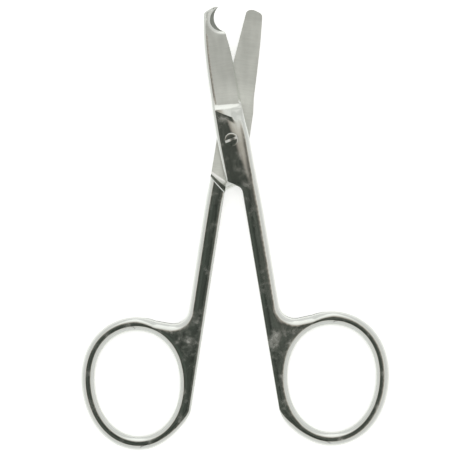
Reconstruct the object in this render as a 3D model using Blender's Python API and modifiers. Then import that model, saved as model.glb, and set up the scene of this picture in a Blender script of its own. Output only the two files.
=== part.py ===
"""Suture scissors with one hooked and one plain blade, lying open on their side.

Two forged halves cross at a lap joint and turn on a slotted screw. Each half is drawn closed, with the
blade along +Y and the pivot axis on the origin, in the pose of the hooked half: handle to the right,
blade in the upper layer. The plain half is the same forging turned over about the line where the shanks
meet, with another blade. The origin is on the pivot axis, at the height of the underside.
"""
import math
from collections import namedtuple

import bmesh
import bpy
from mathutils import Matrix, Vector
from mathutils.geometry import interpolate_bezier

MM = 0.001

# Pose
REST_OPENING = math.radians(18.4)

# Joint
THICKNESS = 3.0 * MM
LAP_GAP = 0.10 * MM
SEAM_X = 0.34 * MM
SEAM_GAP = 0.10 * MM
JOINT_HALF_WIDTH = 3.28 * MM
BOSS_LEFT_ROOT = 2.46 * MM
BOSS_LEFT_MIDDLE = 2.83 * MM
BOSS_LEFT_TOP = 2.82 * MM
BOSS_TOP_Y = 5.92 * MM

# Lap shoulder and the boss end that nests in it
SHOULDER_Y = 10.62 * MM
SHOULDER_ANGLE = math.radians(38.5)
SHOULDER_CLEARANCE = 0.40 * MM
RAMP_LENGTH = 2.1 * MM
ARCH_RADIUS = 2.0 * MM

# Shank
SHANK_WIDTH = 3.49 * MM
SHANK_EDGE = 0.85 * MM
SEAM_EDGE = 0.42 * MM
TAPER_BELOW_SHOULDER = 2.88 * MM
TAPER_LENGTH = 21.0 * MM
WEB_OVER_HOLE = 2.46 * MM
WEB_FILLET = 3.2 * MM
WEB_EDGE = 1.20 * MM
WEB_EDGE_BLEND = 0.09

# Finger rings
RING_THICKNESS = 2.5 * MM
RING_SIDE_WIDTH = 2.72 * MM
RING_END_WIDTH = 2.83 * MM
RING_EDGE = 0.92 * MM
HOLE_EDGE = 0.98 * MM
RING_OFFSET = 11.50 * MM
HOLE_SWELL = 0.041
HOLE_FULLNESS = 0.13 * MM
HOOKED_RING_REACH = 50.55 * MM
HOOKED_HOLE_HALF_LENGTH = 10.67 * MM
HOOKED_HOLE_HALF_WIDTH = 8.80 * MM
HOOKED_RING_LEAN = math.radians(10.4)
PLAIN_RING_REACH = 51.20 * MM
PLAIN_HOLE_HALF_LENGTH = 10.51 * MM
PLAIN_HOLE_HALF_WIDTH = 8.48 * MM
PLAIN_RING_LEAN = math.radians(13.1)
HEEL_ABOVE_END = 9.2 * MM
HEEL_RISE = 2.05 * MM
HEEL_PULL = 3.8 * MM
HEEL_EDGE = 0.60 * MM
HEEL_STEPS = 9
WEB_END_X = 9.8 * MM

# Blades
BLADE_ROOT_Y = 7.1 * MM
ROOT_ANGLE = math.radians(-5.4)
BLADE_ROOT_THICKNESS = 1.10 * MM
BLADE_TIP_THICKNESS = 0.72 * MM
BLADE_TIP_Y = 26.3 * MM
BLADE_FALL = 0.04
SPINE_EDGE = 0.48 * MM
BEVEL_WIDTH = 0.42 * MM
BEVEL_LAND = 0.42 * MM
BEVEL_FADE = 1.6 * MM
CUTTING_EDGE_X = 3.06 * MM
CUTTING_EDGE_LEAN = 0.035
CUTTING_EDGE_CURVE = 0.0032 / MM
CUTTING_EDGE_CURVE_Y = 10.5 * MM
FACET_ANGLE = math.radians(-30)
FACET_START = (-2.15 * MM, 6.10 * MM)
FACET_SLOPE = 0.115

# Notch of the hooked blade
NOTCH_CENTRE = (3.63 * MM, 24.23 * MM)
NOTCH_RADIUS = 3.13 * MM
NOTCH_TOP_CENTRE = (2.58 * MM, 24.11 * MM)
NOTCH_TOP_RADIUS = 2.75 * MM
NOTCH_RIM = 0.30 * MM
NOTCH_RIM_DEPTH = 0.10 * MM

# Screw
BORE_RADIUS = 1.00 * MM
BORE_CLEARANCE = 0.05 * MM
HEAD_RADIUS = 1.33 * MM
HEAD_HEIGHT = 0.75 * MM
HEAD_SINK = 0.03 * MM
HEAD_EDGE = 0.30 * MM
HEAD_CLEARANCE = 0.06 * MM
TAIL_RADIUS = 0.80 * MM
TAIL_CHAMFER = 0.12 * MM
SLOT_WIDTH = 0.45 * MM
SLOT_DEPTH = 0.42 * MM
SLOT_ANGLE = math.radians(21.6)

# Fineness
EDGE_STEPS = 4
RAMP_STEPS = 6
RING_STEPS = 56
ROUND_STEPS = 48

LAP = THICKNESS / 2
BEYOND = 1.0 * MM
FAR = 20.0 * MM
SHANK_INNER = SEAM_X + SEAM_GAP / 2
SHANK_OUTER = SHANK_INNER + SHANK_WIDTH
SHOULDER_TAN = math.tan(SHOULDER_ANGLE)
CREST_Y = -SHOULDER_Y - SHOULDER_CLEARANCE / math.cos(SHOULDER_ANGLE)
TAPER_START_Y = -SHOULDER_Y - TAPER_BELOW_SHOULDER
TAPER_END_Y = TAPER_START_Y - TAPER_LENGTH
MERGE = 0.001 * MM


Ring = namedtuple("Ring", "reach half_length half_width lean")


def clear_scene():
    for item in list(bpy.data.objects):
        bpy.data.objects.remove(item, do_unlink=True)


def new_collection(name):
    made = bpy.data.collections.new(name)
    bpy.context.scene.collection.children.link(made)
    return made


def steel(name, colour, roughness):
    material = bpy.data.materials.new(name)
    material.use_nodes = True
    shader = material.node_tree.nodes["Principled BSDF"]
    shader.inputs["Base Color"].default_value = (*colour, 1.0)
    shader.inputs["Metallic"].default_value = 1.0
    shader.inputs["Roughness"].default_value = roughness
    return material


def between(a, b, share):
    return a + (b - a) * share


def arc(centre, radius, start, end, steps):
    """Points from one angle to another, in degrees, both ends included."""
    angles = [math.radians(start + (end - start) * i / steps) for i in range(steps + 1)]
    return [(centre[0] + radius * math.cos(a), centre[1] + radius * math.sin(a)) for a in angles]


def bezier(start, handle_a, handle_b, end, steps):
    knots = [Vector((*p, 0.0)) for p in (start, handle_a, handle_b, end)]
    return [(p.x, p.y) for p in interpolate_bezier(*knots, steps + 1)]


def hole_point(ring, turn, grow=0.0):
    """Point at an angle of a finger hole's oval, fuller at its upper end, moved outwards by grow."""
    grow += HOLE_FULLNESS * math.sin(2 * turn) ** 2
    swell = 1 + HOLE_SWELL * math.sin(turn)
    x, y = ring.half_width * swell * math.cos(turn), ring.half_length * math.sin(turn)
    along_x = ring.half_width * (HOLE_SWELL * math.cos(turn) ** 2 - swell * math.sin(turn))
    along_y = ring.half_length * math.cos(turn)
    scale = grow / math.hypot(along_x, along_y)
    x, y = x + along_y * scale, y - along_x * scale
    cos, sin = math.cos(ring.lean), math.sin(ring.lean)
    return (SEAM_X + RING_OFFSET + x * cos + y * sin, -ring.reach - x * sin + y * cos)


def rim_point(ring, turn):
    """Point at an angle of the ring's outside."""
    return hole_point(ring, turn, between(RING_SIDE_WIDTH, RING_END_WIDTH, math.sin(turn) ** 2))


def rim_turn(ring, axis, value, guess):
    """Angle near guess where the ring's outside has a given x (axis 0) or y (axis 1)."""
    low, high = guess - math.radians(40), guess + math.radians(40)
    rising = rim_point(ring, high)[axis] > rim_point(ring, low)[axis]
    for _ in range(40):
        middle = (low + high) / 2
        if (rim_point(ring, middle)[axis] < value) == rising:
            low = middle
        else:
            high = middle
    return low


def handle_outline(ring):
    """Down the inner edge, round the ring and up the outer edge to the joint: (x, y, edge radius)."""
    end_y = -ring.reach - ring.half_length - RING_END_WIDTH
    web_y = -ring.reach + ring.half_length + WEB_OVER_HOLE
    heel_end = rim_turn(ring, 1, end_y + HEEL_RISE, math.radians(232))
    web_start = rim_turn(ring, 0, SEAM_X + WEB_END_X, math.radians(112))
    arch_turn = 90 - math.degrees(SHOULDER_ANGLE)
    arch_y = -SHOULDER_Y - ARCH_RADIUS * math.tan(math.radians(arch_turn) / 2)
    arch = arc((SHANK_INNER - ARCH_RADIUS, arch_y), ARCH_RADIUS, arch_turn, 0, 6)
    heel_y = end_y + HEEL_ABOVE_END
    end, after = (rim_point(ring, heel_end + step) for step in (0.0, 0.01))
    back = HEEL_PULL / math.dist(end, after)
    handle = (end[0] + (end[0] - after[0]) * back, end[1] + (end[1] - after[1]) * back)
    heel = bezier((SHANK_INNER, heel_y), (SHANK_INNER, heel_y - HEEL_PULL / 2), handle, end, HEEL_STEPS)
    ring_turn = web_start + math.tau - heel_end
    ring_count = round(RING_STEPS * ring_turn / math.tau)
    rim = [rim_point(ring, heel_end + ring_turn * i / ring_count) for i in range(1, ring_count + 1)]
    web = arc((SHANK_OUTER + WEB_FILLET, web_y + WEB_FILLET), WEB_FILLET, 270, 180, 7)
    points = [(*p, SEAM_EDGE * 0.6) for p in arch]
    points += [(SHANK_INNER, TAPER_START_Y, SEAM_EDGE), (SHANK_INNER, TAPER_END_Y, SEAM_EDGE)]
    points += [(SHANK_INNER, between(TAPER_END_Y, heel_y, 0.5), (SEAM_EDGE + HEEL_EDGE) / 2)]
    points += [(*p, between(HEEL_EDGE, RING_EDGE, i / HEEL_STEPS)) for i, p in enumerate(heel)]
    blend = WEB_EDGE_BLEND * ring_count
    points += [(*p, between(WEB_EDGE, RING_EDGE, min(1.0, (ring_count - 1 - i) / blend)))
               for i, p in enumerate(rim)]
    points += [(*p, between(WEB_EDGE, SHANK_EDGE, i / (len(web) - 1))) for i, p in enumerate(web)]
    points += [(SHANK_OUTER, TAPER_START_Y, SHANK_EDGE)]
    joint = ((0.06, -7.0, 0.85), (0.0, -3.0, 0.85), (-0.02, 0.0, 0.85), (-0.12, 2.2, 0.85), (-0.25, 4.2, 0.55),
             (-0.36, 5.2, 0.25))
    points += [(SEAM_X + JOINT_HALF_WIDTH + x * MM, y * MM, edge * MM) for x, y, edge in joint]
    return points


def boss_outline():
    """Down the boss's left side and along its slanted lower end to the arch."""
    left = -BOSS_LEFT_ROOT
    corner_y = -SHOULDER_Y + (SHANK_INNER - left) * SHOULDER_TAN
    return [(-BOSS_LEFT_TOP, BOSS_TOP_Y, SPINE_EDGE), (-BOSS_LEFT_MIDDLE, 0.0, SPINE_EDGE),
            (left, corner_y + 0.35 * MM, SPINE_EDGE * 0.8),
            (left + 0.1 * MM, corner_y + 0.02 * MM, 0.2 * MM), (left + 0.35 * MM, corner_y - 0.27 * MM, 0.0)]


def hooked_blade_outline():
    """Up the cutting edge, over the hook and down the spine; the notch is cut afterwards."""
    edge = [(3.07, 6.5), (3.05, 8.3), (3.03, 11.0), (2.91, 15.1), (2.73, 18.2), (2.37, 21.6), (2.45, 24.0)]
    hook = [(2.25, 26.2), (1.78, 26.66), (1.35, 26.80), (0.92, 26.82), (0.50, 26.76), (0.20, 26.66)]
    nose = [(-0.58, 26.36), (-1.06, 26.06), (-1.28, 25.78), (-1.38, 25.3)]
    spine = [(-1.62, 24.0), (-1.95, 21.8), (-2.24, 19.2), (-2.46, 16.0), (-2.60, 12.5), (-2.68, 9.0)]
    return ([(x * MM, y * MM, 0.0) for x, y in edge] + [(x * MM, y * MM, 0.22 * MM) for x, y in hook]
            + [(x * MM, y * MM, 0.3 * MM) for x, y in nose] + [(x * MM, y * MM, SPINE_EDGE) for x, y in spine])


def plain_blade_outline():
    """Up the straight cutting edge, over the blunt tip and down the spine."""
    edge = [(3.09, 6.5), (3.09, 9.0), (3.06, 11.3), (1.74, 25.1)]
    tip = [(1.66, 25.70), (1.38, 26.08), (1.05, 26.27), (0.60, 26.38), (0.1, 26.35),
           (-0.42, 26.22), (-1.04, 26.00), (-1.47, 25.70), (-1.66, 25.25)]
    spine = [(-1.72, 24.6), (-1.86, 23.0), (-2.05, 20.4), (-2.21, 17.0), (-2.36, 13.0), (-2.47, 9.0)]
    return ([(x * MM, y * MM, 0.0) for x, y in edge] + [(x * MM, y * MM, 0.2 * MM) for x, y in tip]
            + [(x * MM, y * MM, SPINE_EDGE) for x, y in spine])


def inset(outline, share, inward):
    """The outline moved sideways by a share of each point's edge radius."""
    moved = []
    count = len(outline)
    for i, (x, y, radius) in enumerate(outline):
        before, after = outline[i - 1], outline[(i + 1) % count]
        a = Vector((x - before[0], y - before[1])).normalized()
        b = Vector((after[0] - x, after[1] - y)).normalized()
        normal = Vector((-(a.y + b.y), a.x + b.x)).normalized()
        stretch = max(0.5, normal.dot(Vector((-a.y, a.x))))
        moved.append(Vector((x, y)) + normal * (inward * radius * share / stretch))
    return moved


def wall(bm, outline, thickness, inward):
    """Side wall of a slab with its upper and lower edges rounded; returns the lowest and highest loops."""
    levels = []
    for i in range(EDGE_STEPS + 1):
        angle = math.radians(90 * i / EDGE_STEPS)
        levels.append((1 - math.sin(angle), 1 - math.cos(angle)))
    loops = []
    for share, drop in levels:
        places = inset(outline, share, inward)
        loops.append([bm.verts.new((p.x, p.y, drop * outline[i][2])) for i, p in enumerate(places)])
    for share, drop in reversed(levels):
        places = inset(outline, share, inward)
        loops.append([bm.verts.new((p.x, p.y, thickness - drop * outline[i][2]))
                      for i, p in enumerate(places)])
    for lower, upper in zip(loops, loops[1:]):
        for i in range(len(lower)):
            bm.faces.new((lower[i - 1], lower[i], upper[i], upper[i - 1]))
    return loops[0], loops[-1]


def blank(name, outline, ring):
    """The flat forging of one half: full thickness everywhere, edges rounded, finger hole open."""
    bm = bmesh.new()
    hole = [(*hole_point(ring, -math.tau * i / RING_STEPS), HOLE_EDGE) for i in range(RING_STEPS)]
    outer_ends = wall(bm, outline, THICKNESS, 1)
    hole_ends = wall(bm, hole, THICKNESS, 1)
    for outer, inner in zip(outer_ends, hole_ends):
        rims = [bm.edges.get((loop[i - 1], loop[i])) for loop in (outer, inner) for i in range(len(loop))]
        bmesh.ops.triangle_fill(bm, use_beauty=True, use_dissolve=False, edges=rims)
    bmesh.ops.remove_doubles(bm, verts=bm.verts, dist=MERGE / 2)
    bmesh.ops.recalc_face_normals(bm, faces=bm.faces)
    mesh = bpy.data.meshes.new(name)
    bm.to_mesh(mesh)
    bm.free()
    return mesh


def beyond_line(x, y, start, angle):
    """Distance of a point past a line, measured to the left of its direction."""
    return (y - start[1]) * math.cos(angle) - (x - start[0]) * math.sin(angle)


def blade_top(x, y):
    """Height of the upper face over the lap layer, from the boss to the tip."""
    root = beyond_line(x, y, (SEAM_X, BLADE_ROOT_Y), ROOT_ANGLE)
    length = BLADE_ROOT_Y - BOSS_TOP_Y
    face = LAP + BLADE_ROOT_THICKNESS - BLADE_FALL * x
    face -= (BLADE_ROOT_THICKNESS - BLADE_TIP_THICKNESS) * max(0.0, root) / (BLADE_TIP_Y - BLADE_ROOT_Y)
    rise = max(0.0, -root) / length
    slope = face + (THICKNESS - LAP - BLADE_ROOT_THICKNESS + BLADE_FALL * CUTTING_EDGE_X) * rise ** 2
    facet = THICKNESS - FACET_SLOPE * max(0.0, beyond_line(x, y, FACET_START, FACET_ANGLE))
    return max(face, min(THICKNESS, facet, slope))


def cutting_bevel(x, y):
    """Height of the narrow facet ground along the cutting edge."""
    share = min(1.0, max(0.0, (y - BOSS_TOP_Y) / BEVEL_FADE))
    edge_x = CUTTING_EDGE_X - CUTTING_EDGE_CURVE * max(0.0, y - CUTTING_EDGE_CURVE_Y) ** 2
    inward = max(0.0, edge_x - x)
    bevel = LAP + BEVEL_LAND + inward * (BLADE_ROOT_THICKNESS - BEVEL_LAND) / BEVEL_WIDTH
    return bevel * share + THICKNESS * (1 - share)


def ring_taper(y):
    """How far the shank's face has come in from the joint's, at a place along it."""
    share = (TAPER_START_Y - y) / TAPER_LENGTH
    return (THICKNESS - RING_THICKNESS) * min(1.0, max(0.0, share))


def score(bm, start, angle):
    """Adds an edge across every face along a line, so that the face can fold there."""
    normal = Vector((-math.sin(angle), math.cos(angle), 0.0))
    geometry = bm.verts[:] + bm.edges[:] + bm.faces[:]
    bmesh.ops.bisect_plane(bm, geom=geometry, dist=MERGE, plane_co=(*start, 0.0), plane_no=normal)


def shape_faces(mesh, taper_above):
    """Thins the blade from above, and the handle from above or below."""
    bm = bmesh.new()
    bm.from_mesh(mesh)
    score(bm, (0.0, TAPER_START_Y), 0.0)
    score(bm, (0.0, TAPER_END_Y), 0.0)
    length = BLADE_ROOT_Y - BOSS_TOP_Y
    for share in (0.0, 0.3, 0.6, 0.8, 1.0):
        score(bm, (SEAM_X, BLADE_ROOT_Y - share * length), ROOT_ANGLE)
    score(bm, FACET_START, FACET_ANGLE)
    for y in (9.5, 12.5, 15.5, 18.5, 21.5):
        score(bm, (0.0, y * MM), 0.0)
    blade = [f for f in bm.faces if all(v.co.y > BOSS_TOP_Y - 0.5 * MM and v.co.z > LAP for v in f.verts)]
    geometry = list({v for f in blade for v in f.verts}) + list({e for f in blade for e in f.edges}) + blade
    crease = Vector((CUTTING_EDGE_X - BEVEL_WIDTH, BLADE_ROOT_Y, 0.0))
    bmesh.ops.bisect_plane(bm, geom=geometry, dist=MERGE, plane_co=crease,
                           plane_no=Vector((1.0, CUTTING_EDGE_LEAN, 0.0)))
    for vertex in bm.verts:
        x, y, z = vertex.co
        if z > LAP:
            drop = THICKNESS - min(blade_top(x, y), cutting_bevel(x, y)) if y > 0 else 0.0
            if taper_above:
                drop += ring_taper(y)
            vertex.co.z = z - drop
        elif not taper_above:
            vertex.co.z = z + ring_taper(y)
    bm.to_mesh(mesh)
    bm.free()


def prism(name, outline, width, collection):
    """A flat outline with straight sides, from a filled 2D curve, as a mesh centred on its plane."""
    curve = bpy.data.curves.new(name, "CURVE")
    curve.dimensions = "2D"
    curve.fill_mode = "BOTH"
    curve.extrude = width / 2
    spline = curve.splines.new("POLY")
    spline.points.add(len(outline) - 1)
    for point, (x, y) in zip(spline.points, outline):
        point.co = (x, y, 0.0, 1.0)
    spline.use_cyclic_u = True
    drawn = bpy.data.objects.new(name + "_curve", curve)
    collection.objects.link(drawn)
    evaluated = drawn.evaluated_get(bpy.context.evaluated_depsgraph_get())
    mesh = bpy.data.meshes.new_from_object(evaluated)
    bm = bmesh.new()
    bm.from_mesh(mesh)
    bmesh.ops.remove_doubles(bm, verts=bm.verts, dist=MERGE)
    bmesh.ops.recalc_face_normals(bm, faces=bm.faces)
    bm.to_mesh(mesh)
    bm.free()
    bpy.data.objects.remove(drawn, do_unlink=True)
    made = bpy.data.objects.new(name, mesh)
    collection.objects.link(made)
    return hide(made)


def hide(cutter):
    cutter.hide_render = True
    cutter.display_type = "WIRE"
    return cutter


def ramp_profile(lift):
    """The shoulder's hollow, from its crest at full thickness past the lap face: distance and height."""
    turn = 2 * math.atan2(THICKNESS - LAP, RAMP_LENGTH)
    radius = RAMP_LENGTH / math.sin(turn)
    angles = [turn * (RAMP_STEPS - i) / RAMP_STEPS for i in range(RAMP_STEPS + 1)]
    points = [(RAMP_LENGTH - (radius - lift) * math.sin(a), LAP + radius - (radius - lift) * math.cos(a))
              for a in angles]
    before, last = points[-2:]
    points[-1] = tuple(between(m, n, 1.3) for m, n in zip(before, last))
    return points


def stand(cutter, start, angle):
    """Turns a prism drawn as (distance past a line, height) so that it runs along that line."""
    across = Vector((-math.sin(angle), math.cos(angle), 0.0))
    along = Vector((math.cos(angle), math.sin(angle), 0.0))
    turned = Matrix((across, Vector((0.0, 0.0, 1.0)), along)).transposed().to_4x4()
    cutter.data.transform(Matrix.Translation((*start, 0.0)) @ turned)


def turn_over(mesh):
    """Turns a mesh half round about the line where the shanks meet, at middle height."""
    centre = Matrix.Translation((SEAM_X, 0.0, THICKNESS / 2))
    mesh.transform(centre @ Matrix.Rotation(math.pi, 4, "Y") @ centre.inverted())


def inner_side(name, collection):
    """Everything on the handle's side of the seam, to end a ramp there."""
    bound = [(SHANK_INNER, -FAR), (FAR, -FAR), (FAR, FAR), (SHANK_INNER, FAR)]
    return prism(name, bound, FAR, collection)


def lap_cutter(side, collection):
    """Opens the lower layer for the other half's blade and boss, up to the hollow shoulder."""
    gap = LAP_GAP / 2
    behind = CREST_Y - BEYOND
    plan = [(SHANK_INNER, -FAR), (SHANK_INNER, behind), (FAR, behind + (FAR - SHANK_INNER) * SHOULDER_TAN),
            (FAR, 2 * FAR), (-FAR, 2 * FAR), (-FAR, -FAR)]
    lap = prism(side + "_lap_cutter", plan, LAP + gap + BEYOND, collection)
    lap.data.transform(Matrix.Translation((0, 0, (LAP + gap - BEYOND) / 2)))
    under = [(s, THICKNESS - z + gap) for s, z in ramp_profile(0.0)]
    under[0] = tuple(between(m, n, 1.5) for m, n in zip(under[1], (0.0, 0.0)))
    outline = [(-2 * BEYOND, under[0][1])] + under + [(under[-1][0], THICKNESS), (-2 * BEYOND, THICKNESS)]
    ramp = prism(side + "_ramp", outline, FAR, collection)
    stand(ramp, (SHANK_INNER, CREST_Y), SHOULDER_ANGLE)
    boolean(ramp, inner_side(side + "_ramp_end", collection), "INTERSECT")
    boolean(lap, ramp, "DIFFERENCE")
    return lap


def relief_cutter(side, collection):
    """Slopes the underside of the boss's lower end, so that it clears the other half's ramp."""
    hollow = ramp_profile(LAP_GAP / 2)
    outline = [(-BEYOND, 0.0), (hollow[-1][0], 0.0)] + hollow[::-1] + [(-BEYOND, hollow[0][1])]
    relief = prism(side + "_relief_cutter", outline, FAR, collection)
    stand(relief, (SHANK_INNER - SEAM_GAP, CREST_Y), -SHOULDER_ANGLE)
    boolean(relief, inner_side(side + "_relief_end", collection), "DIFFERENCE")
    return relief


def boolean(target, tool, operation):
    cut = target.modifiers.new(tool.name, "BOOLEAN")
    cut.operation = operation
    cut.solver = "EXACT"
    cut.object = tool


def cylinder(name, x, radius, bottom, top, collection):
    bm = bmesh.new()
    bmesh.ops.create_cone(bm, cap_ends=True, segments=ROUND_STEPS, radius1=radius, radius2=radius,
                          depth=top - bottom, matrix=Matrix.Translation((x, 0, (top + bottom) / 2)))
    mesh = bpy.data.meshes.new(name)
    bm.to_mesh(mesh)
    bm.free()
    made = bpy.data.objects.new(name, mesh)
    collection.objects.link(made)
    return hide(made)


def leaning_cone(name, lower, lower_radius, upper, upper_radius, collection):
    """A cone between two circles, each given by its centre (x, y, z), with the upper one off to a side."""
    bm = bmesh.new()
    depth = upper[2] - lower[2]
    bmesh.ops.create_cone(bm, cap_ends=True, segments=2 * ROUND_STEPS, radius1=lower_radius,
                          radius2=upper_radius, depth=depth)
    for vertex in bm.verts:
        centre = upper if vertex.co.z > 0 else lower
        vertex.co.x += centre[0]
        vertex.co.y += centre[1]
        vertex.co.z = centre[2]
    mesh = bpy.data.meshes.new(name)
    bm.to_mesh(mesh)
    bm.free()
    made = bpy.data.objects.new(name, mesh)
    collection.objects.link(made)
    return hide(made)


def notch_cutters(collection):
    """The hook's hollow, ground with a wheel held at a lean, and the rim broken round its upper edge."""
    top = blade_top(0.0, NOTCH_CENTRE[1])
    height = top - LAP
    circles = []
    for z in (LAP - BEYOND, THICKNESS + BEYOND):
        share = (z - LAP) / height
        circles.append(((between(NOTCH_CENTRE[0], NOTCH_TOP_CENTRE[0], share),
                         between(NOTCH_CENTRE[1], NOTCH_TOP_CENTRE[1], share), z),
                        between(NOTCH_RADIUS, NOTCH_TOP_RADIUS, share)))
    hollow = leaning_cone("notch_cutter", circles[0][0], circles[0][1], circles[1][0], circles[1][1],
                          collection)
    slope = NOTCH_RIM / NOTCH_RIM_DEPTH
    middle_radius = NOTCH_TOP_RADIUS + NOTCH_RIM
    rim = leaning_cone("notch_rim_cutter", (*NOTCH_TOP_CENTRE, top - 2 * NOTCH_RIM_DEPTH),
                       middle_radius - 2 * NOTCH_RIM, (*NOTCH_TOP_CENTRE, top + BEYOND),
                       middle_radius + slope * BEYOND, collection)
    return [hollow, rim]


def make_half(name, blade, ring, parts, cutters, material, upper):
    outline = handle_outline(ring) + blade + boss_outline()
    mesh = blank(name, outline, ring)
    shape_faces(mesh, taper_above=upper)
    half = bpy.data.objects.new(name, mesh)
    parts.objects.link(half)
    tools = [lap_cutter(name, cutters), relief_cutter(name, cutters)]
    if upper:
        tools += notch_cutters(cutters)
        tools.append(cylinder("bore_cutter", 0.0, BORE_RADIUS, -BEYOND, THICKNESS + BEYOND, cutters))
        tools.append(cylinder("counterbore_cutter", 0.0, HEAD_RADIUS + HEAD_CLEARANCE,
                              THICKNESS - HEAD_HEIGHT - HEAD_SINK - HEAD_CLEARANCE,
                              THICKNESS + BEYOND, cutters))
    else:
        tools.append(cylinder("tail_bore_cutter", 2 * SEAM_X, TAIL_RADIUS + BORE_CLEARANCE, -BEYOND,
                              THICKNESS + BEYOND, cutters))
    for tool in tools:
        boolean(half, tool, "DIFFERENCE")
    settle(half)
    if not upper:
        turn_over(half.data)
    opening = REST_OPENING / 2 if upper else -REST_OPENING / 2
    half.rotation_euler = (0.0, 0.0, opening)
    half.data.materials.clear()
    half.data.materials.append(material)
    return half


def settle(item):
    """Applies an object's modifiers and shades its round faces smooth."""
    evaluated = item.evaluated_get(bpy.context.evaluated_depsgraph_get())
    mesh = bpy.data.meshes.new_from_object(evaluated)
    item.modifiers.clear()
    bm = bmesh.new()
    bm.from_mesh(mesh)
    bmesh.ops.remove_doubles(bm, verts=bm.verts, dist=2 * MERGE)
    bmesh.ops.dissolve_degenerate(bm, edges=bm.edges, dist=2 * MERGE)
    bmesh.ops.delete(bm, geom=[edge for edge in bm.edges if edge.is_wire], context="EDGES")
    bm.to_mesh(mesh)
    bm.free()
    item.data = mesh
    mesh.shade_smooth()
    mesh.set_sharp_from_angle(angle=math.radians(28))


def make_screw(parts, cutters, material):
    """A turned screw: slotted head sunk in the hooked half, shoulder through it, tail through the plain."""
    top = THICKNESS - HEAD_SINK
    head_under = top - HEAD_HEIGHT
    shoulder_under = LAP - LAP_GAP / 2
    profile = [(0.0, top)] + arc((HEAD_RADIUS - HEAD_EDGE, top - HEAD_EDGE), HEAD_EDGE, 90, 0, EDGE_STEPS)
    profile += [(HEAD_RADIUS, head_under), (BORE_RADIUS - BORE_CLEARANCE, head_under),
                (BORE_RADIUS - BORE_CLEARANCE, shoulder_under + BORE_CLEARANCE),
                (TAIL_RADIUS, shoulder_under + BORE_CLEARANCE), (TAIL_RADIUS, TAIL_CHAMFER),
                (TAIL_RADIUS - TAIL_CHAMFER, 0.0), (0.0, 0.0)]
    mesh = bpy.data.meshes.new("pivot_screw")
    mesh.from_pydata([(r, 0.0, z) for r, z in profile],
                     [(i, i + 1) for i in range(len(profile) - 1)], [])
    screw = bpy.data.objects.new("pivot_screw", mesh)
    parts.objects.link(screw)
    turn = screw.modifiers.new("Turn", "SCREW")
    turn.angle = math.tau
    turn.steps = ROUND_STEPS
    turn.render_steps = ROUND_STEPS
    turn.use_merge_vertices = True
    turn.merge_threshold = 0.01 * MM
    turn.use_normal_calculate = True
    bm = bmesh.new()
    bmesh.ops.create_cube(bm, size=1.0)
    slot_mesh = bpy.data.meshes.new("slot_cutter")
    bmesh.ops.scale(bm, verts=bm.verts, vec=(2 * (HEAD_RADIUS + BEYOND), SLOT_WIDTH, 2 * SLOT_DEPTH))
    bmesh.ops.rotate(bm, verts=bm.verts, cent=(0, 0, 0), matrix=Matrix.Rotation(SLOT_ANGLE, 3, "Z"))
    bmesh.ops.translate(bm, verts=bm.verts, vec=(0.0, 0.0, top))
    bm.to_mesh(slot_mesh)
    bm.free()
    slot = hide(bpy.data.objects.new("slot_cutter", slot_mesh))
    cutters.objects.link(slot)
    boolean(screw, slot, "DIFFERENCE")
    settle(screw)
    screw.data.materials.clear()
    screw.data.materials.append(material)
    return screw


def main():
    clear_scene()
    parts = new_collection("suture_scissors")
    cutters = new_collection("cutters")
    polished = steel("polished_stainless_steel", (0.62, 0.63, 0.62), 0.12)
    screw_steel = steel("turned_stainless_steel", (0.55, 0.56, 0.55), 0.22)
    hooked_ring = Ring(HOOKED_RING_REACH, HOOKED_HOLE_HALF_LENGTH, HOOKED_HOLE_HALF_WIDTH, HOOKED_RING_LEAN)
    plain_ring = Ring(PLAIN_RING_REACH, PLAIN_HOLE_HALF_LENGTH, PLAIN_HOLE_HALF_WIDTH, PLAIN_RING_LEAN)
    make_half("hooked_half", hooked_blade_outline(), hooked_ring, parts, cutters, polished, True)
    make_half("plain_half", plain_blade_outline(), plain_ring, parts, cutters, polished, False)
    make_screw(parts, cutters, screw_steel)


main()
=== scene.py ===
"""Suture scissors of polished stainless steel, lying open on a white table and seen from straight above."""

import math

import bmesh
import bpy
import numpy as np
from mathutils import Matrix, Vector
from mathutils.geometry import delaunay_2d_cdt, interpolate_bezier
from mathutils.kdtree import KDTree


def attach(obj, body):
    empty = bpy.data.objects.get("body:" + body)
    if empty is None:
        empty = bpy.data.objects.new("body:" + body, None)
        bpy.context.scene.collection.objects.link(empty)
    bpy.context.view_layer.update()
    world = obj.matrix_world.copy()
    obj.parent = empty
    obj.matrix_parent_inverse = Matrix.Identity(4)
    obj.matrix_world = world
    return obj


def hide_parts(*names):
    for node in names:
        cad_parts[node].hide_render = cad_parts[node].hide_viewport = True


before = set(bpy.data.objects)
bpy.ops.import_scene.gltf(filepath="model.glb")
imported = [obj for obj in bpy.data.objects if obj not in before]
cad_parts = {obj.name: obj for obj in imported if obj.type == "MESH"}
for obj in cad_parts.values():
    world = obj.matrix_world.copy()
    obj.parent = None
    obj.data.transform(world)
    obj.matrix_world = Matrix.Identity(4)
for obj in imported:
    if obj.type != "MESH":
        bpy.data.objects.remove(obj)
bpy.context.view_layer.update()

# The plain half: one drop-forged half of the scissors, in stainless steel. It is forged as a flat blank
# with rounded edges, its joint and blade are ground, and the handle is polished by hand on a wheel. Both
# halves are this same forging, so everything that they share is made here.
MM = 0.001

# The forging is drawn closed, in millimetres, with the screw at 0, 0 and its blade along +y.
THICKNESS = 3.0
MIDDLE = 1.5
LAP_FACE = 1.55
SEAM_X = 0.34
SHANK_INNER = 0.39
SHANK_OUTER = 3.88
JOINT_OUTER = 3.62
TAPER_START_Y = -13.5
TAPER_END_Y = -34.5
RING_DROP = 0.5
BOSS_TOP_Y = 5.92
HALF_OPENING = math.radians(9.2)

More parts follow.
